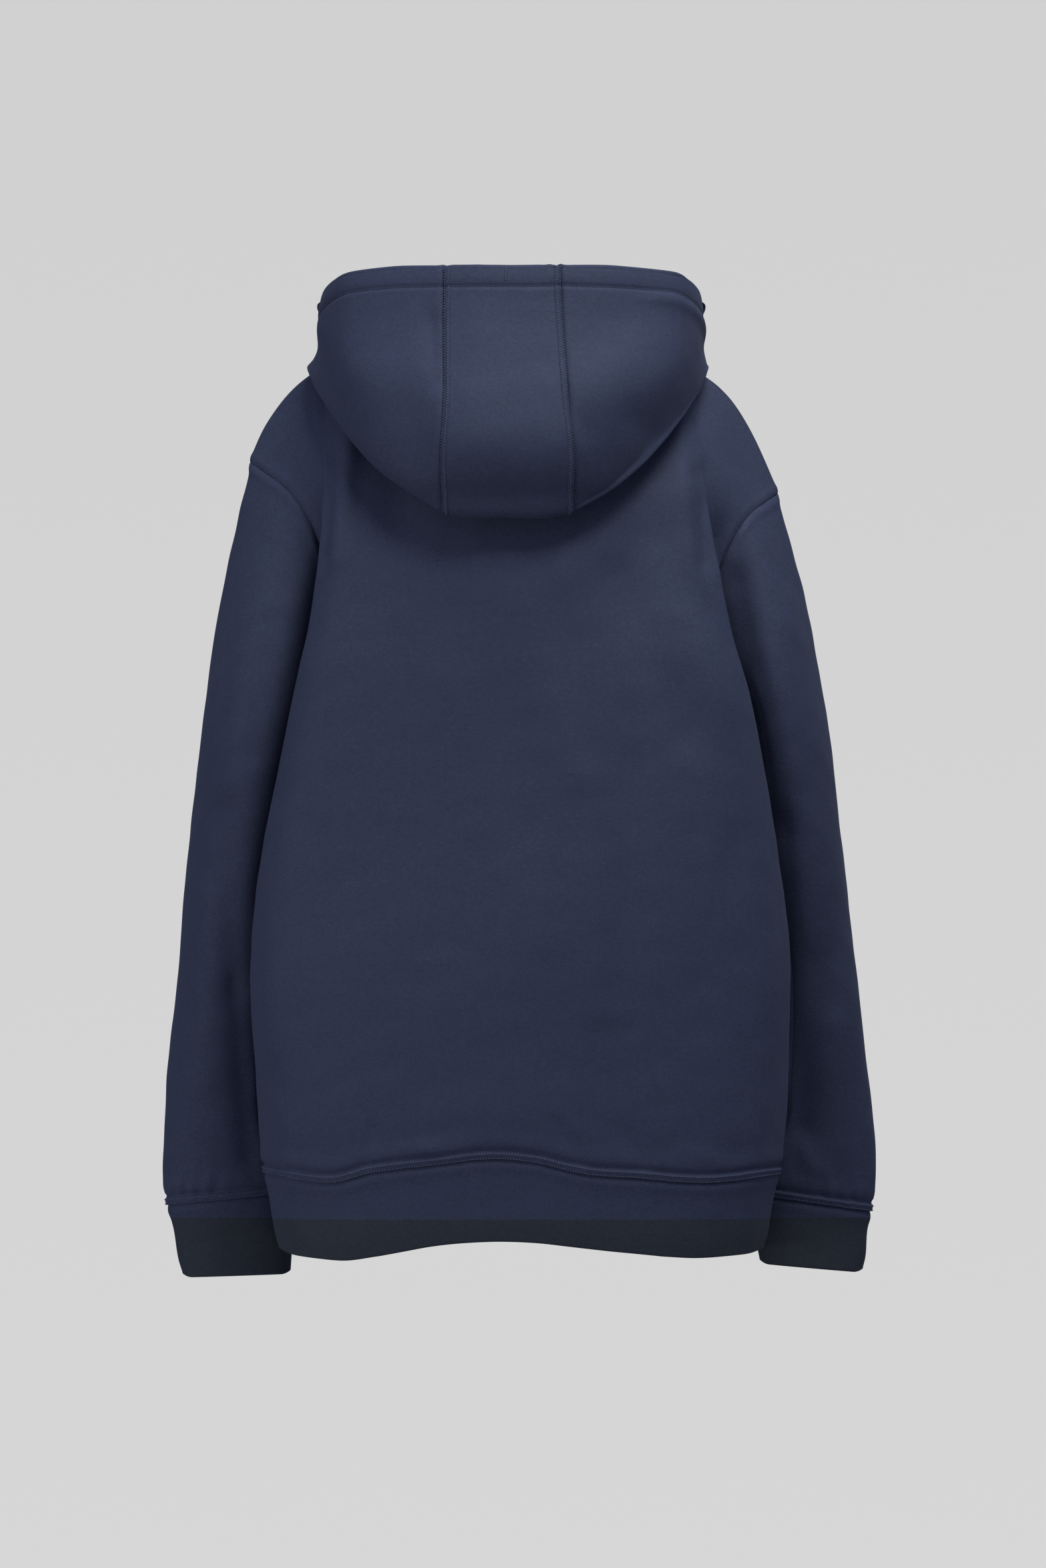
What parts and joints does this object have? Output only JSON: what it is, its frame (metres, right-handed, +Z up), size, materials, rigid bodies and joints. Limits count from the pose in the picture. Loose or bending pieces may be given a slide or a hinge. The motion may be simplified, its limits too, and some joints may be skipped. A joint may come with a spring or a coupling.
{
  "type": "pullover hoodie, filled out as worn, hood down",
  "caption": "Long-sleeved pullover with a hood lying open on the back, ribbed cuffs and hem band, filled out with no wearer.",
  "frame": {"origin": "the mount wearer_shoulders, midway between the two points where the neckline meets the shoulder seams, at the height where the neck leaves the shoulders", "axes": "+X is the wearer's right, +Y is the wearer's front, +Z is up; the pictured back faces -Y"},
  "size_m": [0.5687, 0.3053, 0.8062],
  "materials": {
    "fleece": "navy brushed-back sweatshirt knit, matt with a fine soft nap",
    "rib": "navy to near-black close rib knit, matt"
  },
  "bodies": {
    "root": {"back": "fleece", "front": "fleece", "hem_band": "rib", "sleeve_left": "fleece", "sleeve_right": "fleece", "cuff_left": "rib", "cuff_right": "rib", "hood_left": "fleece", "hood_centre": "fleece", "hood_right": "fleece"}
  },
  "joints": []
}
